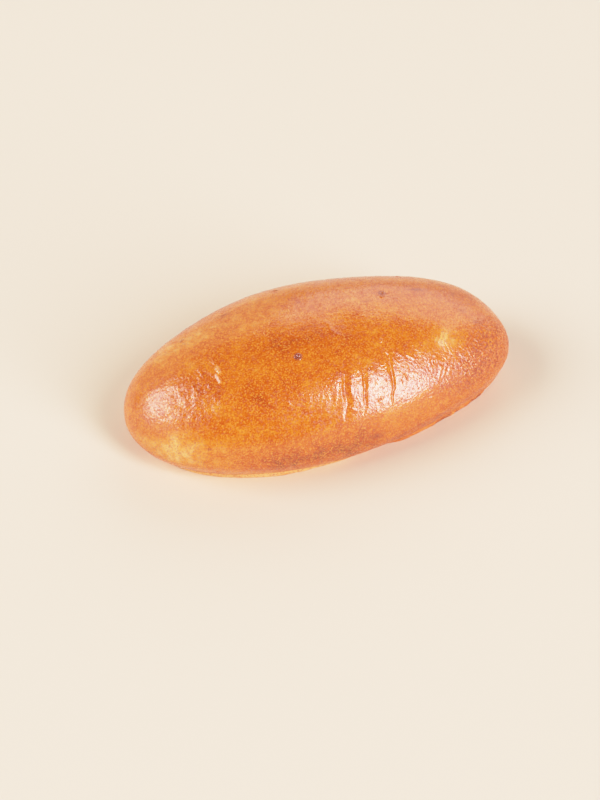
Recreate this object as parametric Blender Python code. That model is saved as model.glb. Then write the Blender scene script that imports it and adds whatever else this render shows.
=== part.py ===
"""A cabbage-filled bun: one shut oval of baked dough that rests on its flat base.

Metres, +Z up. The long axis runs along X, the wider end is at -X, and the
middle of the base is at the origin.
"""

import math
from collections import namedtuple

import bmesh
import bpy
from mathutils import Vector, noise

# Driving dimensions
LENGTH = 0.120
WIDTH = 0.0604
HEIGHT = 0.0332
WIDEST_AT = 0.0095  # height of the widest ring above the base
BASE_SHARE = 0.845  # the base's outline as a share of the widest one
CROWN_POWER = 2.14  # 2 gives an elliptical crown, more gives a fuller one
TAPER = -0.09  # how much narrower the +X end is, as a share of the width
BOW = -0.0003  # sideways bow of the long axis

# Slow waves round the outline: how many, their share of the radius, and the angle of a crest
OUTLINE_WAVES = ((3, 0.0116, 238), (4, 0.0043, 256), (5, 0.0077, 183), (6, 0.0076, 214))

# Gentle unevenness of the whole crust
UNEVEN_SIZE = 0.024
UNEVEN_DEPTH = 0.0003

# Shallow folds that run round the bun, on the side that faces -Y: the place along X, the middle
# and half span of the run in degrees round the long axis (0 faces -Y and 90 is up), the half
# width, the depth, and the lean along X over half the run
Fold = namedtuple("Fold", "along middle half_run half_width depth lean")
FOLDS = (
    Fold(-0.0424, 60, 24, 0.0015, 0.00026, 0.0010),
    Fold(-0.0380, 54, 24, 0.0015, 0.00024, 0.0010),
    Fold(-0.0345, 54, 24, 0.0015, 0.00024, 0.0002),
    Fold(-0.0070, 35, 16, 0.0013, 0.00018, 0.0024),
    Fold(-0.0026, 38, 19, 0.0013, 0.00024, 0.0029),
    Fold(0.0006, 40, 22, 0.0014, 0.00032, 0.0033),
    Fold(0.0060, 41, 24, 0.0015, 0.00040, 0.0030),
    Fold(0.0150, 42, 22, 0.0016, 0.00040, 0.0014),
)

# Round swellings and dents of the crown, seen from above
Spot = namedtuple("Spot", "x y radius height")
SPOTS = (
    Spot(0.0337, -0.0141, 0.0048, 0.00055),
    Spot(0.0065, -0.0028, 0.0040, -0.00020),
    Spot(0.0224, 0.0062, 0.0030, -0.00035),
    Spot(0.0300, -0.0020, 0.0110, 0.00040),
    Spot(-0.0480, -0.0060, 0.0100, 0.00040),
)

# The foot: a low rim where the dough spread on the tray, along part of the -Y side
RIM_HEIGHT = 0.0016
RIM_REACH = 0.0011
RIM_CREASE = 0.0003
RIM_FROM = -172  # degrees round the outline
RIM_TO = -92
RIM_FADE = 16

# Grid of the box that is wrapped round the bun, and the finer cuts of its top and sides
BOX_HALF = 1
BOX_CELLS = (22, 11, 4)
FINE_CUTS = 2
ROW_BIAS = 1.35  # more than 1 draws the rows towards the base
ON_BOX = 0.0001  # how near to a side of the box counts as on it

CRUST_COLOUR = (0.66, 0.24, 0.035, 1.0)
CRUST_ROUGHNESS = 0.38
CREASE_ANGLE = 40

UNDERCUT = WIDEST_AT / math.sqrt(1 - BASE_SHARE**2)
BASE_RISE = -math.acos(BASE_SHARE)


def clear_scene():
    for item in list(bpy.data.objects):
        bpy.data.objects.remove(item)


def smooth_step(value):
    value = min(max(value, 0.0), 1.0)
    return value * value * (3 - 2 * value)


def bell(offset, half_width):
    """1 in the middle, about a third at the half width, then nothing."""
    return math.exp(-((offset / half_width) ** 2))


def outline_share(turn):
    waves = (share * math.cos(count * turn - math.radians(crest)) for count, share, crest in OUTLINE_WAVES)
    return 1 + sum(waves)


def form_point(turn, rise):
    """The smooth form at an angle round the outline and an angle above the widest ring."""
    if rise > 0:
        spread = max(math.cos(rise), 0.0) ** (2 / CROWN_POWER)
        height = WIDEST_AT + (HEIGHT - WIDEST_AT) * math.sin(rise) ** (2 / CROWN_POWER)
    else:
        spread = math.cos(rise)
        height = WIDEST_AT + UNDERCUT * math.sin(rise)
    spread *= outline_share(turn)
    end = math.cos(turn)
    along = LENGTH / 2 * end * spread
    across = WIDTH / 2 * math.sin(turn) * spread * (1 + TAPER * end)
    return Vector((along, across + BOW * (2 * along / LENGTH) ** 2, height))


def base_point(turn, share):
    """A point of the flat base, at a share of the way from its middle to its edge."""
    edge = form_point(turn, BASE_RISE)
    return Vector((edge.x * share, edge.y * share, 0.0))


def box_angles(corner):
    """The angle round the outline of a point of the box, and the angle above the widest ring.

    The rows of the box's sides run from its top edge down to the edge of the base.
    """
    quarter = math.pi / 4
    east = math.tan(corner.x * quarter)
    north = math.tan(corner.y * quarter)
    turn = math.atan2(north, east)
    top_rise = math.atan2(BOX_HALF, math.hypot(east, north))
    up = (corner.z + BOX_HALF) / (2 * BOX_HALF)
    return turn, BASE_RISE + (top_rise - BASE_RISE) * up**ROW_BIAS


def uneven(point):
    return UNEVEN_DEPTH * noise.noise(point / UNEVEN_SIZE)


def folds(point):
    roll = math.degrees(math.atan2(point.z - WIDEST_AT, -point.y))
    depth = 0.0
    for fold in FOLDS:
        run = (roll - fold.middle) / fold.half_run
        if abs(run) < 1:
            offset = point.x - fold.along - fold.lean * run
            depth += fold.depth * (1 - run * run) * bell(offset, fold.half_width)
    return -depth


def spots(point):
    return sum(s.height * bell(math.hypot(point.x - s.x, point.y - s.y), s.radius) for s in SPOTS)


def rim(point, turn):
    """How far the foot stands out, with a shallow crease just above it."""
    degrees = math.degrees(turn)
    inside = smooth_step((degrees - RIM_FROM) / RIM_FADE) * smooth_step((RIM_TO - degrees) / RIM_FADE)
    foot = 1 - smooth_step((point.z - RIM_HEIGHT / 2) / RIM_HEIGHT)
    crease = bell(point.z - 2 * RIM_HEIGHT, RIM_HEIGHT)
    return inside * (RIM_REACH * foot - RIM_CREASE * crease)


def box_grid():
    """A box whose top and sides have a finer grid than its bottom."""
    grid = bmesh.new()
    bmesh.ops.create_cube(grid, size=2 * BOX_HALF)
    for axis, cells in enumerate(BOX_CELLS):
        crossing = [e for e in grid.edges if abs(e.verts[0].co[axis] - e.verts[1].co[axis]) > BOX_HALF]
        bmesh.ops.subdivide_edges(grid, edges=crossing, cuts=cells - 1, use_grid_fill=True)
    upper = [f for f in grid.faces if f.calc_center_median().z > ON_BOX - BOX_HALF]
    fine = {edge for face in upper for edge in face.edges}
    bmesh.ops.subdivide_edges(grid, edges=list(fine), cuts=FINE_CUTS, use_grid_fill=True)
    return grid


def wrap_box(grid):
    """Lays the box on the smooth form, and gives each point of the crust with its angle."""
    crust = []
    for vert in grid.verts:
        turn, rise = box_angles(vert.co)
        reach = max(abs(vert.co.x), abs(vert.co.y)) / BOX_HALF
        if vert.co.z < ON_BOX - BOX_HALF and reach < 1 - ON_BOX:
            vert.co = base_point(turn, reach)
        else:
            vert.co = form_point(turn, rise)
            crust.append((vert, turn))
    grid.normal_update()
    return crust


def add_relief(crust):
    """Moves the crust in or out for its unevenness, folds and spots, and out for the foot."""
    moves = []
    for vert, turn in crust:
        off_base = smooth_step(vert.co.z / (2 * RIM_HEIGHT))
        relief = off_base * (uneven(vert.co) + folds(vert.co) + spots(vert.co))
        outward = Vector((vert.normal.x, vert.normal.y, 0)).normalized()
        moves.append(vert.normal * relief + outward * rim(vert.co, turn))
    for (vert, turn), move in zip(crust, moves):
        vert.co += move


def centre_on_base(grid):
    low = [min(v.co[axis] for v in grid.verts) for axis in range(2)]
    high = [max(v.co[axis] for v in grid.verts) for axis in range(2)]
    shift = (-(low[0] + high[0]) / 2, -(low[1] + high[1]) / 2, 0)
    bmesh.ops.translate(grid, verts=grid.verts, vec=shift)


def bun_mesh():
    grid = box_grid()
    crust = wrap_box(grid)
    add_relief(crust)
    centre_on_base(grid)
    mesh = bpy.data.meshes.new("bun")
    grid.to_mesh(mesh)
    grid.free()
    mesh.shade_smooth()
    mesh.set_sharp_from_angle(angle=math.radians(CREASE_ANGLE))
    return mesh


def crust_material():
    material = bpy.data.materials.new("browned_crust")
    material.use_nodes = True
    shader = material.node_tree.nodes["Principled BSDF"]
    shader.inputs["Base Color"].default_value = CRUST_COLOUR
    shader.inputs["Roughness"].default_value = CRUST_ROUGHNESS
    shader.inputs["Metallic"].default_value = 0.0
    material.diffuse_color = CRUST_COLOUR
    return material


def build_bun():
    clear_scene()
    collection = bpy.data.collections.new("cabbage_filled_bun")
    bpy.context.scene.collection.children.link(collection)
    mesh = bun_mesh()
    mesh.materials.append(crust_material())
    collection.objects.link(bpy.data.objects.new("bun", mesh))


build_bun()
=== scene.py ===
import math

import bmesh
import bpy
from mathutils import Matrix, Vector, noise


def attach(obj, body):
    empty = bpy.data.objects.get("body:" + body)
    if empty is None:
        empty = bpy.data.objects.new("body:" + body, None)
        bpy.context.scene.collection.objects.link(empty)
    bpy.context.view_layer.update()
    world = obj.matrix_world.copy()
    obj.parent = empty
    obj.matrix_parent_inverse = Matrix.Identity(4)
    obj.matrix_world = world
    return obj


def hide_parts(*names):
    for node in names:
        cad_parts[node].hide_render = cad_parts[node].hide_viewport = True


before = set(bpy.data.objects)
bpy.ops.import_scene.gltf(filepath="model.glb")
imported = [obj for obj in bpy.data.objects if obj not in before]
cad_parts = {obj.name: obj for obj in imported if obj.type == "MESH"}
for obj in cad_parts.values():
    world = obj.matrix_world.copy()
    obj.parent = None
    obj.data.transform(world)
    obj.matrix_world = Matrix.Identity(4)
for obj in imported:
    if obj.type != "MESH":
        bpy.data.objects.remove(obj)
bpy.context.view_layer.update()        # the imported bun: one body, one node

scene = bpy.context.scene
bellReach = 3  # in half widths: past it a bell is nothing


def smoothStep(value):
    value = min(max(value, 0.0), 1.0)
    return value * value * (3 - 2 * value)


def bell(offset, halfWidth):
    # 1 in the middle, about a third at the half width, then nothing
    share = offset / halfWidth
    return math.exp(-share * share) if abs(share) < bellReach else 0.0


# camera: metres, and degrees above the floor
cameraSetup = {
    "aim": (-0.00565, -0.00053, 0.0),
    "distance": 0.5492,
    "turn": 18.75,  # how far the bun's long axis is turned against the picture's width
    "up": 50.0,
    "lens": 81.0,
    "sensor": 36.0,
    "clipStart": 0.01,
}

# the photo's bright tones are held back softly: linear light in, linear light out
toneCurve = (
    (0.0, 0.0), (0.55, 0.55), (0.70, 0.677), (0.90, 0.793),
    (1.15, 0.882), (1.5, 0.946), (2.2, 0.988), (4.0, 1.0),
)


def studioDirection(turn, up):
    # turn is degrees to the right of the camera, seen from above; up is degrees above the floor
    angle = math.radians(turn - 90 - cameraSetup["turn"])
    level = math.cos(math.radians(up))
    return Vector((math.cos(angle) * level, math.sin(angle) * level, math.sin(math.radians(up))))


def aimAt(thing, place, target):
    thing.location = place
    thing.rotation_euler = (Vector(target) - Vector(place)).to_track_quat("-Z", "Y").to_euler()


def makeCamera():
    data = bpy.data.cameras.new("camera")
    data.lens = cameraSetup["lens"]
    data.sensor_width = cameraSetup["sensor"]
    data.clip_start = cameraSetup["clipStart"]
    camera = bpy.data.objects.new("camera", data)
    scene.collection.objects.link(camera)
    aim = Vector(cameraSetup["aim"])
    aimAt(camera, aim + studioDirection(0, cameraSetup["up"]) * cameraSetup["distance"], aim)
    scene.camera = camera


def setTones():
    view = scene.view_settings
    view.view_transform = "Standard"
    view.use_curve_mapping = True
    mapping = view.curve_mapping
    mapping.clip_max_x = toneCurve[-1][0]
    curve = mapping.curves[3]  # the one for all colours together
    curve.points[0].location = toneCurve[0]
    curve.points[1].location = toneCurve[-1]
    for place in toneCurve[1:-1]:
        curve.points.new(*place)
    mapping.update()


makeCamera()
setTones()
print("camera placed")

# studio: soft boxes either side, low glows to the left and beyond, a bright wall behind, a dim room;
# turn and up in degrees, distance and size in metres
lampSetup = {
    "rightBox": {
        "turn": 52.3,
        "up": 28,
        "distance": 3.0,
        "size": (0.98, 3.2),
        "radiance": 13.5,
        "tint": (0.97, 0.92, 1.0),
    },
    "leftBox": {
        "turn": -85,
        "up": 37,
        "distance": 3.0,
        "size": (2.0, 1.7),
        "radiance": 7.3,
        "tint": (1.0, 0.95, 0.98),
    },
    "leftGlow": {
        "turn": -68,
        "up": 19,
        "distance": 3.3,
        "size": (4.4, 2.2),
        "radiance": 1.3,
        "tint": (1.0, 0.95, 0.90),
    },
    "farGlow": {
        "turn": -143,
        "up": 22,
        "distance": 3.3,
        "size": (3.6, 2.4),
        "radiance": 0.6,
        "tint": (1.0, 0.94, 0.88),
    },
    "backWall": {
        "turn": 152,
        "up": 28.5,
        "distance": 3.4,
        "size": (4.2, 2.7),
        "radiance": 1.75,
        "tint": (1.0, 0.96, 0.96),
    },
}
lampTarget = (0, 0, 0.01)
worldSetup = {"colour": (1.0, 0.95, 0.88), "strength": 0.07}


def makeLamps():
    for name, lamp in lampSetup.items():
        data = bpy.data.lights.new(name, "AREA")
        data.shape = "RECTANGLE"
        data.size, data.size_y = lamp["size"]
        data.energy = lamp["radiance"] * math.pi * data.size * data.size_y
        data.color = lamp["tint"]
        box = bpy.data.objects.new(name, data)
        box.visible_camera = False
        scene.collection.objects.link(box)
        aimAt(box, studioDirection(lamp["turn"], lamp["up"]) * lamp["distance"], lampTarget)


def makeWorld():
    world = bpy.data.worlds.new("studio")
    world.use_nodes = True
    background = world.node_tree.nodes["Background"]
    background.inputs["Color"].default_value = (*worldSetup["colour"], 1)
    background.inputs["Strength"].default_value = worldSetup["strength"]
    scene.world = world


makeLamps()
makeWorld()
print("studio lit")

# the bun's form: the same smooth form as the solid, wrapped in a much finer grid
bunForm = {
    "length": 0.120,
    "width": 0.0604,
    "height": 0.0332,
    "widestAt": 0.0095,  # height of the widest ring
    "baseShare": 0.845,  # base outline against the widest one
    "crownPower": 2.14,  # 2 gives an elliptical crown, more a fuller one
    "taper": -0.09,  # less than 0 narrows the +X end
    "bow": -0.0003,  # sideways bow of the long axis
    # slow waves round the outline: how many, share of the radius, degrees of a crest
    "waves": ((3, 0.0116, 238), (4, 0.0043, 256), (5, 0.0077, 183), (6, 0.0076, 214)),
    "cells": (53, 26, 13),  # of the cube that is wrapped round the bun
    "fineCuts": 3,  # through each cell of its top and sides
    "rowBias": 1.35,  # more than 1 draws the rows towards the base
}
cubeEdge = 0.9999  # from here on out a point counts as on a side of the cube
# what is painted on the points of the mesh; the baking below says where
paintNames = ("bakingAndPaintedLight", "rosy", "stained", "dull", "pitted")
undercut = bunForm["widestAt"] / math.sqrt(1 - bunForm["baseShare"] ** 2)
baseRise = -math.acos(bunForm["baseShare"])


def formPoint(turn, rise):
    # turn goes round the outline from the +X end, rise is the angle above the widest ring
    power = 2 / bunForm["crownPower"]
    if rise > 0:
        spread = max(math.cos(rise), 0.0) ** power
        height = bunForm["widestAt"] + (bunForm["height"] - bunForm["widestAt"]) * math.sin(rise) ** power
    else:
        spread = math.cos(rise)
        height = bunForm["widestAt"] + undercut * math.sin(rise)
    spread *= 1 + sum(
        share * math.cos(count * turn - math.radians(crest))
        for count, share, crest in bunForm["waves"]
    )
    end = math.cos(turn)
    along = bunForm["length"] / 2 * end * spread
    across = bunForm["width"] / 2 * math.sin(turn) * spread * (1 + bunForm["taper"] * end)
    return Vector((along, across + bunForm["bow"] * (2 * along / bunForm["length"]) ** 2, height))


def rollOf(point):
    # degrees round the long axis: 0 faces -Y, 90 is straight up, 180 faces +Y
    return math.degrees(math.atan2(point.z - bunForm["widestAt"], -point.y))


def turnOf(point):
    return math.degrees(math.atan2(point.y / bunForm["width"], point.x / bunForm["length"]))


def boxGrid():
    # a cube of side 2, cut in cells, with its top and sides cut finer than its bottom
    grid = bmesh.new()
    for name in paintNames:
        grid.verts.layers.float.new(name)
    bmesh.ops.create_cube(grid, size=2)
    for axis, cells in enumerate(bunForm["cells"]):
        crossing = [e for e in grid.edges if abs(e.verts[0].co[axis] - e.verts[1].co[axis]) > 1]
        bmesh.ops.subdivide_edges(grid, edges=crossing, cuts=cells - 1, use_grid_fill=True)
    upper = [f for f in grid.faces if f.calc_center_median().z > -cubeEdge]
    fine = {edge for face in upper for edge in face.edges}
    bmesh.ops.subdivide_edges(grid, edges=list(fine), cuts=bunForm["fineCuts"], use_grid_fill=True)
    return grid


def wrapBox(grid):
    quarter = math.pi / 4
    for vert in grid.verts:
        corner = vert.co.copy()
        east = math.tan(corner.x * quarter)
        north = math.tan(corner.y * quarter)
        turn = math.atan2(north, east)
        topRise = math.atan2(1, math.hypot(east, north))
        reach = max(abs(corner.x), abs(corner.y))
        if corner.z < -cubeEdge and reach < cubeEdge:
            edge = formPoint(turn, baseRise)
            vert.co = (edge.x * reach, edge.y * reach, 0)
        else:
            up = ((corner.z + 1) / 2) ** bunForm["rowBias"]
            vert.co = formPoint(turn, baseRise + (topRise - baseRise) * up)
    grid.normal_update()


# relief of the crust: metres, and degrees of roll or of turn
relief = {
    "unevenSize": 0.024,
    "unevenDepth": 0.0003,
    "lumpSize": 0.0050,
    "lumpDepth": 0.00006,
    "rippleSize": 0.0018,
    "rippleDepth": 0.000022,
    "baseFade": 0.0032,  # height over which the relief sets in above the base
    # cross folds: place along X, middle and half span of roll, width of the left and right wall,
    # depth, lean along X and widening over half the run
    "folds": (
        (-0.0456, 50, 14, 0.0006, 0.0010, 0.00010, 0.0010, 0.0),
        (-0.0428, 58, 16, 0.0006, 0.0011, 0.00009, 0.0008, 0.0),
        (-0.0403, 45, 11, 0.0006, 0.0008, 0.00011, 0.0002, 0.0),
        (-0.0398, 68, 12, 0.0007, 0.0009, 0.00007, 0.0006, 0.0),
        (-0.0381, 45, 10, 0.0006, 0.0008, 0.00012, -0.0010, 0.0),
        (-0.0366, 47, 9, 0.0006, 0.0008, 0.00010, -0.0008, 0.0),
        (-0.0292, 66, 13, 0.0009, 0.0009, 0.00004, 0.0005, 0.0),
        (-0.0088, 30, 8, 0.0006, 0.0009, 0.00002, 0.0010, 0.0),
        (-0.0050, 31, 11, 0.0006, 0.0010, 0.00004, 0.0015, 0.0),
        (-0.0022, 37, 12, 0.0005, 0.0012, 0.00006, 0.0018, 0.0),
        (0.0003, 39, 20, 0.0011, 0.0020, 0.00036, 0.0022, 0.1),
        (0.0059, 40, 20, 0.0006, 0.0014, 0.00033, 0.0019, 0.3),
        (0.0150, 38, 22, 0.0011, 0.0006, 0.00036, 0.0018, 0.9),
    ),
    "foldSharpness": 0.00012,  # radius at the bottom of a fold
    "foldWander": 0.0007,  # how far a fold strays sideways
    "foldWanderRun": 7,  # over how many degrees of roll
    "foldWanderSeed": 900,  # gives each fold its own way by its place
    # swellings and dents: X, Y, radius, height
    "spots": (
        (0.0352, -0.0118, 0.0030, 0.00026),
        (0.0008, -0.0200, 0.0075, 0.00022),
        (0.0065, -0.0028, 0.0040, -0.00020),
        (0.0224, 0.0062, 0.0030, -0.00035),
        (0.0300, -0.0020, 0.0110, 0.00008),
        (-0.0480, -0.0060, 0.0100, 0.00040),
        (0.0468, 0.0067, 0.0030, -0.00025),
    ),
    # zones of fine cross wrinkles: place along X, roll, spans along X and of roll, depth
    "wrinkleZones": (
        (-0.0060, 34, 0.006, 18, 0.00001),
        (-0.0400, 54, 0.009, 30, 0.00005),
        (-0.0160, 44, 0.010, 22, 0.00004),
        (0.0050, 140, 0.030, 30, 0.00006),
        (-0.0350, 150, 0.012, 26, 0.00008),
    ),
    "wrinkleWidth": 0.0017,
    "wrinkleRun": 0.010,  # their length up the crust
    "wrinkleRadius": 0.025,  # of the crust there
    "wrinkleSway": 0.0005,  # how far they bend sideways
    "wrinkleSwayPace": 0.2,
    "wrinkleSeed": 3.7,
    "wrinkleLeast": 0.000003,  # weaker ones are left out
    "wrinkleLean": 0.00012,  # along X for each degree of roll
    # zones of small dimples: place along X, roll, spans along X and of roll, size, depth
    "dimpleZones": (
        (-0.0450, 58, 0.0120, 26, 0.0019, 0.00019),
        (-0.0360, 70, 0.0070, 22, 0.0020, 0.00007),
        (0.0120, 42, 0.0120, 12, 0.0021, 0.00006),
        (0.0500, 40, 0.0120, 34, 0.0016, 0.00012),
    ),
    # short raised or sunk strokes: place along X and roll of one end, then of the other, height,
    # half width and how much paler they are painted, a painted glint along the stroke
    "strokes": (
        (-0.0332, 77.5, -0.0329, 71, 0.00034, 0.00048, 0.30),
        (-0.0338, 71, -0.0334, 64, 0.00032, 0.00048, 0.30),
        (-0.0342, 87, -0.0331, 80, 0.00010, 0.00034, 0.0),
        (-0.0381, 83, -0.0376, 74, 0.00012, 0.00034, 0.0),
        (-0.0292, 80, -0.0285, 74, 0.00007, 0.00030, 0.0),
        (-0.0169, 40, -0.0161, 32, 0.00004, 0.00034, 0.0),
        (0.0322, 52, 0.0340, 58, 0.00007, 0.00045, 0.35),
        (0.0334, 51, 0.0352, 56, 0.00007, 0.00045, 0.35),
        (0.0312, 54, 0.0322, 57, 0.00008, 0.00034, 0.20),
        (0.0151, 55, 0.0166, 50, 0.00010, 0.00034, 0.0),
        (0.0158, 51, 0.0178, 45, 0.00010, 0.00034, 0.0),
        (0.0178, 53, 0.0200, 48, 0.00009, 0.00034, 0.0),
        (0.0209, 49, 0.0229, 45, 0.00008, 0.00034, 0.0),
        (0.0060, 55, 0.0062, 52, 0.00014, 0.00036, 0.0),
        (0.0053, 50, 0.0051, 47, 0.00014, 0.00036, 0.0),
        (0.0003, 51, 0.0000, 49, 0.00012, 0.00036, 0.0),
        (0.0000, 27, 0.0018, 25, 0.00010, 0.00036, 0.0),
        (0.0176, 34, 0.0190, 37, -0.00014, 0.00022, 0.0),
        (0.0190, 37, 0.0195, 33, -0.00014, 0.00022, 0.0),
        (0.0008, 90, 0.0017, 86, 0.00005, 0.00055, 0.0),
        (0.0017, 86, 0.0020, 79, 0.00007, 0.00055, 0.0),
        (0.0020, 79, 0.0032, 75, 0.00007, 0.00055, 0.0),
        (0.0032, 75, 0.0047, 73, 0.00005, 0.00055, 0.0),
        (0.0294, 27, 0.0309, 34, 0.00016, 0.00034, 0.0),
        (0.0308, 27, 0.0328, 34, 0.00014, 0.00034, 0.0),
        (0.0326, 27, 0.0339, 31, 0.00012, 0.00034, 0.25),
    ),
    # blisters: place along X, roll, ring radius, ring height, depth of the pit, radius and
    # strength of the stain
    "blisters": (
        (-0.0103, 66, 0.00075, 0.00022, 0.00020, 0.0012, 0.95),
        (0.0209, 102, 0.00030, 0.00024, 0.00000, 0.0005, 0.30),
        (0.0217, 107, 0.00060, 0.00010, 0.00015, 0.0013, 0.60),
        (0.0147, 63, 0.00030, 0.00018, 0.00000, 0.0005, 0.20),
        (0.0098, 27, 0.00050, 0.00010, 0.00020, 0.0005, 0.45),
        (0.0086, 46, 0.00040, 0.00006, 0.00010, 0.0007, 0.55),
        (0.0261, 15, 0.00030, 0.00008, 0.00005, 0.0005, 0.15),
        (0.0066, 9, 0.00030, 0.00008, 0.00008, 0.0005, 0.60),
        (-0.0412, 17, 0.00030, 0.00008, 0.00008, 0.0005, 0.55),
        (0.0490, 18.5, 0.00010, 0.00016, 0.00000, 0.0003, 0.00),
        (0.0512, 13.5, 0.00010, 0.00016, 0.00000, 0.0003, 0.00),
        (0.0531, 11.0, 0.00010, 0.00018, 0.00000, 0.0003, 0.00),
        (0.0462, 23.0, 0.00010, 0.00014, 0.00000, 0.0003, 0.00),
        (0.0371, 20.0, 0.00010, 0.00012, 0.00000, 0.0003, 0.00),
        (0.0413, 38.0, 0.00010, 0.00012, 0.00000, 0.0003, 0.00),
        (0.0473, 33.0, 0.00010, 0.00012, 0.00000, 0.0003, 0.00),
        (0.0450, 45.5, 0.00010, 0.00012, 0.00000, 0.0003, 0.00),
        (-0.0070, 140, 0.00055, 0.00014, 0.00012, 0.0009, 0.70),
        (0.0310, 139, 0.00040, 0.00012, 0.00010, 0.0007, 0.55),
        (-0.0390, 126, 0.00045, 0.00012, 0.00010, 0.0008, 0.50),
    ),
    "blisterWidth": 0.00032,  # half width of a ring
    "pitShare": 0.6,  # half width of a pit against its ring
    "stainFrom": 0.7,  # where a stain begins to fade, and over how much, against its radius
    "stainOver": 0.6,
    "strokeReach": 0.001,  # how far past its ends a stroke is felt
    "markSpan": 0.005,  # more than the length of any stroke or blister along X
    "strokeMesh": 0.0009,  # how far round a stroke the grid is finer
    "blisterMesh": 0.0006,  # and how far past a stain
    "markCuts": 2,
    # where the whole grid is finer: from and to along X, from and to in roll
    "fineZones": ((-0.004, 0.020, 14, 62), (-0.048, -0.036, 34, 78), (0.029, 0.036, 40, 60)),
}

# the foot, where the dough spread: stations round the outline in degrees, with metres at each
foot = {
    "lip": (  # how far a thin lip stands out
        (-180, 0.0), (-172, 0.0002), (-163, 0.0014), (-155, 0.0026), (-146, 0.0024), (-137, 0.0021),
        (-129, 0.0019), (-114, 0.0019), (-107, 0.0015), (-101, 0.0010), (-95, 0.0008), (-86, 0.0003),
        (-76, 0.0002), (-68, 0.0012), (-40, 0.0014), (-24, 0.0012), (-14, 0.0), (20, 0.0),
        (50, 0.0006), (120, 0.0006), (160, 0.0), (180, 0.0),
    ),
    "full": (  # how much fuller the lowest part is
        (-180, 0.0), (-80, 0.0), (-70, 0.0008), (-62, 0.0009), (-52, 0.0011), (-43, 0.0013),
        (-37, 0.0018), (-32, 0.0023), (-26, 0.0025), (-18, 0.0016), (-8, 0.0006), (4, 0.0),
        (180, 0.0),
    ),
    "tuck": (  # how much slimmer it is above the lip
        (-180, 0.0), (-160, 0.0), (-148, 0.0002), (-140, 0.0003), (-118, 0.0003), (-108, 0.0001),
        (-100, 0.0), (180, 0.0),
    ),
    "slit": (  # where the lowest edge is undercut and painted dark as a painted shadow of the gap, as a share
        (-180, 0.0), (-152, 0.0), (-149, 0.1), (-144, 0.1), (-141, 0.0), (-128, 0.0),
        (-125, 0.2), (-121, 0.2), (-118, 0.0), (-113, 0.3), (-109, 0.3), (-106, 0.0),
        (-56, 0.0), (-53, 1.0), (-49, 1.0), (-47, 0.0), (-46, 0.0), (-45, 0.9),
        (-43, 0.0), (-41, 0.3), (-39, 0.0), (-37, 1.0), (-33, 1.0), (-31, 0.0),
        (-29, 0.0), (-28, 1.0), (-25, 1.0), (-23, 0.0), (180, 0.0),
    ),
    "lipHeight": 0.0016,
    "fullHeight": 0.0070,
    "tuckHeight": 0.0052,
    "tuckSpan": 0.0030,
    "slitDepth": 0.0002,
    "slitHeight": 0.00110,
    "top": 0.012,  # nothing of the foot shows above this
}


def stationValue(stations, degrees):
    for (first, low), (last, high) in zip(stations, stations[1:]):
        if degrees <= last:
            return low + (high - low) * smoothStep((degrees - first) / (last - first))
    return stations[-1][1]


def folds(point, roll):
    depth = 0.0
    for along, middle, halfRun, leftWidth, rightWidth, foldDepth, lean, flare in relief["folds"]:
        run = (roll - middle) / halfRun
        if abs(run) < 1:
            wander = noise.noise((roll / relief["foldWanderRun"], along * relief["foldWanderSeed"], 0))
            offset = point.x - along - lean * run + relief["foldWander"] * wander
            width = (leftWidth if offset < 0 else rightWidth) * (1 + flare * run)
            wall = max(1 - math.hypot(offset, relief["foldSharpness"]) / width, 0)
            depth += foldDepth * (1 - run * run) * wall
    return -depth


def wrinkles(point, roll):
    strength = 0.0
    for along, middle, spanAlong, spanRoll, depth in relief["wrinkleZones"]:
        strength += depth * bell(point.x - along, spanAlong) * bell(roll - middle, spanRoll)
    if strength < relief["wrinkleLeast"]:
        return 0.0
    sway = relief["wrinkleSway"] * math.sin(roll * relief["wrinkleSwayPace"])
    across = (point.x - relief["wrinkleLean"] * roll + sway) / relief["wrinkleWidth"]
    upwards = math.radians(roll) * relief["wrinkleRadius"] / relief["wrinkleRun"]
    return strength * noise.noise((across, upwards, relief["wrinkleSeed"]))


def spots(point):
    return sum(
        height * bell(math.hypot(point.x - x, point.y - y), radius)
        for x, y, radius, height in relief["spots"]
        if abs(point.x - x) < bellReach * radius
    )


def dimples(point, roll):
    return sum(
        depth * bell(point.x - along, spanAlong) * bell(roll - middle, spanRoll) * noise.noise(point / size)
        for along, middle, spanAlong, spanRoll, size, depth in relief["dimpleZones"]
        if abs(point.x - along) < bellReach * spanAlong
    )


def nearStroke(point, roll, stroke):
    # distance over the crust from a point to a stroke
    perDegree = math.radians(math.hypot(point.y, point.z - bunForm["widestAt"]))
    start = Vector((point.x - stroke[0], (roll - stroke[1]) * perDegree))
    line = Vector((stroke[2] - stroke[0], (stroke[3] - stroke[1]) * perDegree))
    share = min(max(start.dot(line) / max(line.length_squared, 1e-12), 0.0), 1.0)
    return (start - line * share).length


def strokesAt(point, roll):
    total = 0.0
    reach = relief["strokeReach"]
    for stroke in relief["strokes"]:
        if min(stroke[0], stroke[2]) - reach < point.x < max(stroke[0], stroke[2]) + reach:
            total += stroke[4] * bell(nearStroke(point, roll, stroke), stroke[5])
    return total


def blistersAt(point, roll):
    # the height of the blisters here, and how much they stain the crust
    height = 0.0
    stain = 0.0
    for along, middle, radius, rise, pit, stainRadius, strength in relief["blisters"]:
        if abs(point.x - along) < relief["markSpan"]:
            away = nearStroke(point, roll, (along, middle, along, middle))
            height += rise * bell(away - radius, relief["blisterWidth"])
            height -= pit * bell(away, radius * relief["pitShare"])
            edge = (away - stainRadius * relief["stainFrom"]) / (stainRadius * relief["stainOver"])
            stain += strength * (1 - smoothStep(edge))
    return height, stain


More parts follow.
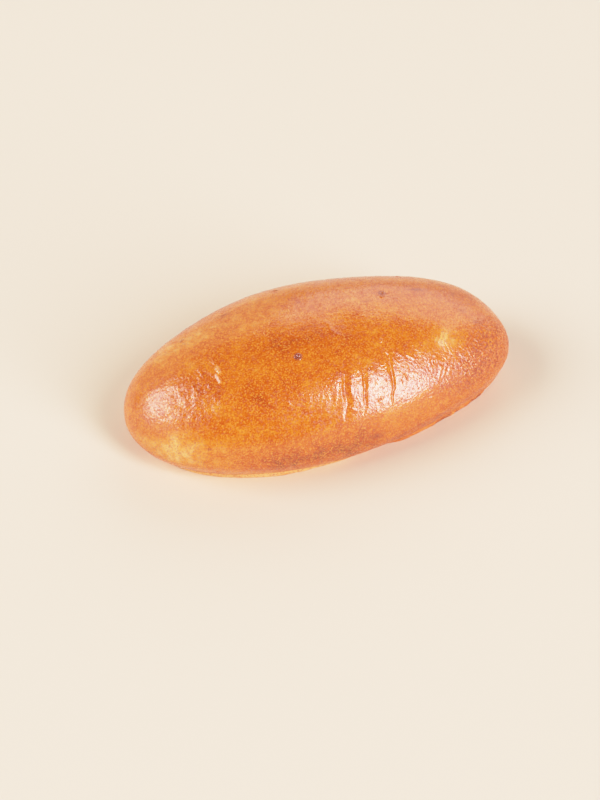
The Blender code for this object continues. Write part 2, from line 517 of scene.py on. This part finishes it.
def footMove(point, degrees):
    # how far out the lowest part of the bun moves
    lip = 1 - smoothStep(point.z / foot["lipHeight"])
    body = 1 - smoothStep(point.z / foot["fullHeight"])
    out = stationValue(foot["lip"], degrees) * lip + stationValue(foot["full"], degrees) * body
    out -= stationValue(foot["tuck"], degrees) * bell(point.z - foot["tuckHeight"], foot["tuckSpan"])
    return out - foot["slitDepth"] * slitShare(point, degrees)


# how much a point at the lowest edge is undercut, and darkened by painted shade
def slitShare(point, degrees):
    return stationValue(foot["slit"], degrees) * (1 - smoothStep(point.z / foot["slitHeight"] - 0.5))


def addRelief(crust):
    moves = []
    for vert, degrees in crust:
        point = vert.co
        roll = rollOf(point)
        offBase = smoothStep(point.z / relief["baseFade"])
        height = relief["unevenDepth"] * noise.noise(point / relief["unevenSize"])
        height += folds(point, roll) + wrinkles(point, roll) + dimples(point, roll) + spots(point)
        height += strokesAt(point, roll) + blistersAt(point, roll)[0]
        height += relief["lumpDepth"] * noise.noise(point / relief["lumpSize"])
        height += relief["rippleDepth"] * noise.noise(point / relief["rippleSize"])
        move = vert.normal * (height * offBase)
        if point.z < foot["top"]:
            move += Vector((vert.normal.x, vert.normal.y, 0)).normalized() * footMove(point, degrees)
        moves.append(move)
    for (vert, degrees), move in zip(crust, moves):
        vert.co += move


def refineMarks(grid):
    # a finer grid round the strokes and blisters, and where the cross folds are sharp
    places = [(stroke, relief["strokeMesh"]) for stroke in relief["strokes"]]
    for blister in relief["blisters"]:
        places.append((blister[:2] + blister[:2], blister[5] + relief["blisterMesh"]))
    near = set()
    for face in grid.faces:
        middle = face.calc_center_median()
        roll = rollOf(middle)
        inZone = any(
            fromX < middle.x < toX and fromRoll < roll < toRoll
            for fromX, toX, fromRoll, toRoll in relief["fineZones"]
        )
        if inZone or any(
            abs(middle.x - stroke[0]) < relief["markSpan"] and nearStroke(middle, roll, stroke) < reach
            for stroke, reach in places
        ):
            near.update(face.edges)
    bmesh.ops.subdivide_edges(grid, edges=list(near), cuts=relief["markCuts"], use_grid_fill=True)
    grid.normal_update()


def centreOnBase(grid):
    low = [min(v.co[axis] for v in grid.verts) for axis in range(2)]
    high = [max(v.co[axis] for v in grid.verts) for axis in range(2)]
    shift = (-(low[0] + high[0]) / 2, -(low[1] + high[1]) / 2, 0)
    bmesh.ops.translate(grid, verts=grid.verts, vec=shift)


# how the oven coloured the crust, and where light and shade are painted on it too:
# patches by place along X, roll, spans of both, and amount
baking = {
    "level": 0.52,  # 0 is pale and 1 is the darkest brown
    "bakingAndPaintedLight": (  # darker, or paler where the amount is less than 0; a few paler ones are painted sheen
        (-0.006, 80, 0.018, 9, 0.22),
        (-0.0265, 46, 0.006, 13, 0.16),
        (-0.0358, 65, 0.004, 11, 0.16),
        (-0.0456, 88, 0.0013, 3, 0.24),
        (-0.0422, 79, 0.0013, 4, 0.24),
        (-0.0399, 62, 0.0012, 3, 0.18),
        (-0.0353, 55, 0.0014, 4, 0.20),
        (-0.0370, 76, 0.0013, 3, 0.16),
        (-0.0236, 47, 0.0024, 6, 0.12),
        (-0.0232, 84, 0.0020, 4, 0.12),
        (-0.0316, 97, 0.0022, 3, 0.12),
        (-0.0385, 45, 0.0034, 6, -0.20),
        (-0.0060, 55, 0.0120, 12, 0.09),
        (0.0070, 72, 0.004, 8, 0.12),
        (0.0330, 55, 0.0065, 17, -0.20),
        (0.0337, 52, 0.0026, 7, -0.33),
        # painted sheen: the next three paler patches, on the far left and on the right of the crown
        (-0.0250, 128, 0.0200, 18, -0.16),
        (-0.0400, 121, 0.0120, 14, -0.22),
        (0.0180, 84, 0.0160, 12, -0.08),
        (0.0020, 88, 0.0035, 6, -0.14),
        (-0.0530, 11, 0.0080, 16, -0.31),
        (-0.0430, 4, 0.0130, 9, -0.20),
        (-0.0430, 20, 0.0110, 12, -0.19),
        (0.0290, -9, 0.0180, 7, 0.26),
        (0.0500, 28, 0.0130, 30, 0.16),
        (0.0390, 16, 0.0120, 13, 0.32),
        (-0.0060, 0, 0.0260, 10, 0.14),
        (0.0230, 17, 0.0110, 9, -0.12),
        (-0.0100, 2, 0.0200, 9, 0.38),
        (0.0468, 108, 0.0050, 14, 0.26),
        (0.0000, 178, 0.0450, 14, -0.12),
        (-0.0300, 150, 0.0100, 14, 0.14),
        (0.0200, 140, 0.0090, 12, 0.12),
    ),
    "rosy": (  # redder
        (0.0560, 60, 0.0110, 90, 0.9),
        (0.0300, 12, 0.0180, 14, 0.45),
        (0.0420, 30, 0.0090, 24, 0.45),
        (0.0380, 95, 0.0100, 25, 0.25),
        (0.0560, 150, 0.0110, 30, 0.5),
    ),
    "stained": (  # dark red-brown marks
        (0.0328, 108, 0.0022, 2.0, 0.65),
        (0.0437, 78, 0.0014, 3.0, 0.50),
        (0.0468, 64, 0.0016, 3.4, 0.55),
        (0.0082, 3, 0.0018, 2.2, 0.70),
        (0.0160, -8, 0.0026, 3.0, 0.50),
        (0.0160, 100, 0.0016, 1.6, 0.40),
        (-0.0250, 132, 0.0022, 2.4, 0.45),
    ),
    "dull": (  # less gloss
        (0.0468, 108, 0.0040, 10, 0.6),
        (0.0570, 35, 0.0120, 40, 0.2),
        (0.0450, 18, 0.0080, 14, 0.1),
    ),
    "pitted": (  # dark pores and deeper bumps
        (0.0520, 38, 0.0110, 34, 1.0),
        (0.0420, 28, 0.0080, 16, 0.6),
        (0.0400, 12, 0.0120, 12, 0.5),
        (-0.0440, 54, 0.0120, 28, 0.55),
        (0.0150, 38, 0.0200, 18, 0.22),
    ),
    "strokePaintedGlint": 0.8,  # half width of a stroke's painted glint, a pale line, against the stroke's
    "lipPale": 0.95,  # how much paler the lip of the foot is
    "lipFull": 0.0012,  # a lip that stands out this far is fully pale
    "paleFrom": -75,  # degrees round the outline where the pale lip ends, and over how many
    "paleOver": 20,
    "footPale": 0.03,  # and the rest of the foot
    "footFadeFrom": 0.0014,  # height where the pale foot begins to fade, and over how much
    "footFadeOver": 0.0026,
    "tuckPale": 300,  # for each metre that the foot is slimmer
    "tuckHeight": 0.0030,
    "tuckSpan": 0.0035,
    "slitPaintedShade": 1.8,  # painted shade: how much darker an undercut edge is painted, for the shadow in the gap
    "footTop": 0.008,  # nothing of the foot is painted above this
    "underDark": 0.16,  # and the underside
    "underFacing": -0.97,  # a face that looks down this much is underneath
    "footDull": 0.9,
    "dullFrom": 0.001,  # height where the dull foot begins to gloss, and over how much
    "dullOver": 0.006,
}


def washes(name, point, roll):
    return sum(
        amount * bell(point.x - along, spanAlong) * bell(roll - middle, spanRoll)
        for along, middle, spanAlong, spanRoll, amount in baking[name]
        if abs(point.x - along) < bellReach * spanAlong
    )


def paintBaking(crust, layers):
    for vert, degrees in crust:
        point = vert.co
        roll = rollOf(point)
        level = baking["level"] + washes("bakingAndPaintedLight", point, roll)
        # painted highlight: some strokes get a pale line along them for their glint
        for stroke in relief["strokes"]:
            if stroke[6] and abs(point.x - stroke[0]) < relief["markSpan"]:
                halfWidth = stroke[5] * baking["strokePaintedGlint"]
                level -= stroke[6] * bell(nearStroke(point, roll, stroke), halfWidth)
        if vert.normal.z < baking["underFacing"]:
            level += baking["underDark"]
        elif point.z < baking["footTop"]:
            low = 1 - smoothStep((point.z - baking["footFadeFrom"]) / baking["footFadeOver"])
            pale = baking["lipPale"] * smoothStep((baking["paleFrom"] - degrees) / baking["paleOver"])
            pale *= min(stationValue(foot["lip"], degrees) / baking["lipFull"], 1)
            tuck = baking["tuckPale"] * stationValue(foot["tuck"], degrees)
            level -= low * pale
            level -= baking["footPale"] * low
            level -= tuck * bell(point.z - baking["tuckHeight"], baking["tuckSpan"])
            # painted shade: the undercut edge is painted darker for the shadow in the gap under it
            level += baking["slitPaintedShade"] * slitShare(point, degrees)
        vert[layers["bakingAndPaintedLight"]] = level
        values = {name: washes(name, point, roll) for name in paintNames[1:]}
        values["stained"] += blistersAt(point, roll)[1]
        gloss = smoothStep((point.z - baking["dullFrom"]) / baking["dullOver"])
        values["dull"] += baking["footDull"] * (1 - gloss)
        for name, value in values.items():
            vert[layers[name]] = min(value, 1)


def makeBun():
    grid = boxGrid()
    wrapBox(grid)
    refineMarks(grid)
    print("bun wrapped:", len(grid.verts), "points,", len(grid.faces), "faces")
    crust = [(vert, turnOf(vert.co)) for vert in grid.verts]
    paintBaking(crust, {name: grid.verts.layers.float[name] for name in paintNames})
    addRelief(crust)
    centreOnBase(grid)
    mesh = bpy.data.meshes.new("bunCrust")
    grid.to_mesh(mesh)
    grid.free()
    mesh.shade_smooth()
    bun = bpy.data.objects.new("bunCrust", mesh)
    scene.collection.objects.link(bun)
    return bun


# node shorthands: each adds one node, links or sets its inputs and gives its output
def feed(tree, socket, value):
    if isinstance(value, bpy.types.NodeSocket):
        tree.links.new(value, socket)
    else:
        socket.default_value = value


def calculate(tree, operation, first, second=0.0, third=0.0):
    node = tree.nodes.new("ShaderNodeMath")
    node.operation = operation
    for socket, value in zip(node.inputs, (first, second, third)):
        feed(tree, socket, value)
    return node.outputs[0]


def remap(tree, value, low, high, toLow=0.0, toHigh=1.0):
    node = tree.nodes.new("ShaderNodeMapRange")
    numbers = {"Value": value, "From Min": low, "From Max": high, "To Min": toLow, "To Max": toHigh}
    for name, number in numbers.items():
        feed(tree, node.inputs[name], number)
    return node.outputs[0]


def blend(tree, share, first, second):
    # a Mix node's colours go in at 6 and 7 and come out at 2
    node = tree.nodes.new("ShaderNodeMix")
    node.data_type = "RGBA"
    feed(tree, node.inputs[0], share)
    for socket, value in ((node.inputs[6], first), (node.inputs[7], second)):
        feed(tree, socket, value if isinstance(value, bpy.types.NodeSocket) else (*value, 1))
    return node.outputs[2]


def cloud(tree, place, size, detail=2.0, rough=0.5):
    node = tree.nodes.new("ShaderNodeTexNoise")
    feed(tree, node.inputs["Vector"], place)
    node.inputs["Scale"].default_value = 1 / size
    node.inputs["Detail"].default_value = detail
    node.inputs["Roughness"].default_value = rough
    return node.outputs["Fac"]


def vary(tree, value, texture, amount):
    # a value made uneven by a texture, as much up as down
    return calculate(tree, "MULTIPLY_ADD", calculate(tree, "SUBTRACT", texture, 0.5), amount, value)


def painted(tree, name):
    node = tree.nodes.new("ShaderNodeAttribute")
    node.attribute_name = name
    return node.outputs["Fac"]


crustLook = {
    # colour from pale to dark, by the baking level, which carries the painted light and shade as well
    "stops": (
        (0.00, (0.92, 0.52, 0.175)),
        (0.20, (0.81, 0.31, 0.042)),
        (0.40, (0.69, 0.180, 0.009)),
        (0.60, (0.58, 0.115, 0.004)),
        (0.80, (0.43, 0.062, 0.004)),
        (1.00, (0.22, 0.034, 0.008)),
    ),
    # textures that make the baking uneven: metres, and how much
    "cloudSize": 0.009,
    "cloudAmount": 0.7,
    "mottleSize": 0.0022,
    "mottleAmount": 0.95,
    "grainSize": 0.00042,
    "grainAmount": 0.9,
    # colours laid over it; a range says between which values of its texture a colour sets in
    "rosy": (0.62, 0.130, 0.030),
    "rosyAmount": 0.6,
    "fleck": (0.93, 0.34, 0.045),
    "fleckRange": (0.50, 0.68),
    "fleckAmount": 0.8,
    "darkFleck": (0.42, 0.062, 0.002),
    "darkFleckRange": (0.50, 0.32),
    "darkFleckAmount": 0.75,
    "pore": (0.31, 0.042, 0.003),
    "poreSize": 0.0008,
    "poreRange": (0.54, 0.60),
    "poreAmount": 0.8,
    "pittedRange": (0.2, 0.9),
    "stain": (0.20, 0.030, 0.022),
    "stainRange": (0.3, 0.6, 0.6, 1.0),
    "speckSize": 0.00065,
    "speckRange": (0.54, 0.66),
    "speckAmount": 0.4,
    # gloss
    "roughness": (0.14, 0.24),
    "glossRange": (0.35, 0.65),
    "speckDull": 0.24,
    "poreDull": 0.35,
    "dulling": 0.50,
    "specular": 0.8,
    # bumps too small for the mesh
    "bumpSize": 0.00085,
    "bumpDepth": 0.00008,
    "bumpPitted": 4.0,  # how much deeper where the crust is pitted
    "fineDepth": 0.00003,
}


def makeCrustMaterial():
    look = crustLook
    material = bpy.data.materials.new("brownedCrust")
    material.use_nodes = True
    tree = material.node_tree
    shader = tree.nodes["Principled BSDF"]
    place = tree.nodes.new("ShaderNodeTexCoord").outputs["Object"]
    clouds = cloud(tree, place, look["cloudSize"], detail=3)
    mottle = cloud(tree, place, look["mottleSize"], detail=3, rough=0.7)
    grain = cloud(tree, place, look["grainSize"], detail=1)
    # the baking level, with the painted sheen, glints and shade in it: the painted level, made uneven at
    # three sizes
    bakeAndLightLevel = vary(tree, painted(tree, "bakingAndPaintedLight"), clouds, look["cloudAmount"])
    bakeAndLightLevel = vary(tree, bakeAndLightLevel, mottle, look["mottleAmount"])
    bakeAndLightLevel = vary(tree, bakeAndLightLevel, grain, look["grainAmount"])
    ramp = tree.nodes.new("ShaderNodeValToRGB")
    stops = ramp.color_ramp.elements
    for position, colour in look["stops"][1:-1]:
        stops.new(position)
    for stop, (position, colour) in zip(stops, look["stops"]):
        stop.position = position
        stop.color = (*colour, 1)
    feed(tree, ramp.inputs["Fac"], bakeAndLightLevel)
    rosy = calculate(tree, "MULTIPLY", painted(tree, "rosy"), look["rosyAmount"])
    colour = blend(tree, rosy, ramp.outputs["Color"], look["rosy"])
    flecks = remap(tree, grain, *look["fleckRange"])
    colour = blend(tree, calculate(tree, "MULTIPLY", flecks, look["fleckAmount"]), colour, look["fleck"])
    darkFlecks = remap(tree, grain, *look["darkFleckRange"])
    darkFlecks = calculate(tree, "MULTIPLY", darkFlecks, look["darkFleckAmount"])
    colour = blend(tree, darkFlecks, colour, look["darkFleck"])
    # dark pores where the crust is pitted
    pitted = painted(tree, "pitted")
    pores = remap(tree, cloud(tree, place, look["poreSize"], rough=0.6), *look["poreRange"])
    pores = calculate(tree, "MULTIPLY", pores, remap(tree, pitted, *look["pittedRange"]))
    colour = blend(tree, calculate(tree, "MULTIPLY", pores, look["poreAmount"]), colour, look["pore"])
    stained = remap(tree, mottle, *look["stainRange"])
    stained = calculate(tree, "MULTIPLY", painted(tree, "stained"), stained)
    colour = blend(tree, stained, colour, look["stain"])
    specks = remap(tree, cloud(tree, place, look["speckSize"], detail=1), *look["speckRange"])
    darkSpecks = calculate(tree, "MULTIPLY", specks, look["speckAmount"])
    colour = blend(tree, darkSpecks, colour, look["darkFleck"])
    feed(tree, shader.inputs["Base Color"], colour)
    # gloss: glazed, with small dull specks where the glaze missed
    gloss = remap(tree, mottle, *look["glossRange"], *look["roughness"])
    gloss = calculate(tree, "MULTIPLY_ADD", specks, look["speckDull"], gloss)
    gloss = calculate(tree, "MULTIPLY_ADD", pores, look["poreDull"], gloss)
    gloss = calculate(tree, "MULTIPLY_ADD", painted(tree, "dull"), look["dulling"], gloss)
    feed(tree, shader.inputs["Roughness"], gloss)
    # skin: orange-peel bumps with a finer grain on them, rougher where it is pitted
    peel = cloud(tree, place, look["bumpSize"], detail=1)
    deeper = remap(tree, pitted, 0, 1, toLow=1, toHigh=look["bumpPitted"])
    peel = calculate(tree, "MULTIPLY", peel, deeper)
    skin = tree.nodes.new("ShaderNodeBump")
    feed(tree, skin.inputs["Height"], calculate(tree, "SUBTRACT", peel, pores))
    skin.inputs["Distance"].default_value = look["bumpDepth"]
    fine = tree.nodes.new("ShaderNodeBump")
    feed(tree, fine.inputs["Height"], grain)
    fine.inputs["Distance"].default_value = look["fineDepth"]
    feed(tree, fine.inputs["Normal"], skin.outputs["Normal"])
    feed(tree, shader.inputs["Normal"], fine.outputs["Normal"])
    shader.inputs["Specular IOR Level"].default_value = look["specular"]
    return material


bun = makeBun()
bun.data.materials.append(makeCrustMaterial())
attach(bun, "root")
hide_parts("bun")
print("bun built")

# a plain pale floor
floorSetup = {"radius": 2.6, "segments": 96, "colour": (0.82, 0.69, 0.52), "roughness": 0.75}


def makeFloor():
    grid = bmesh.new()
    bmesh.ops.create_circle(
        grid, cap_ends=True, radius=floorSetup["radius"], segments=floorSetup["segments"]
    )
    mesh = bpy.data.meshes.new("floor")
    grid.to_mesh(mesh)
    grid.free()
    floor = bpy.data.objects.new("floor", mesh)
    scene.collection.objects.link(floor)
    material = bpy.data.materials.new("paleFloor")
    material.use_nodes = True
    shader = material.node_tree.nodes["Principled BSDF"]
    shader.inputs["Base Color"].default_value = (*floorSetup["colour"], 1)
    shader.inputs["Roughness"].default_value = floorSetup["roughness"]
    mesh.materials.append(material)


makeFloor()
print("floor laid")
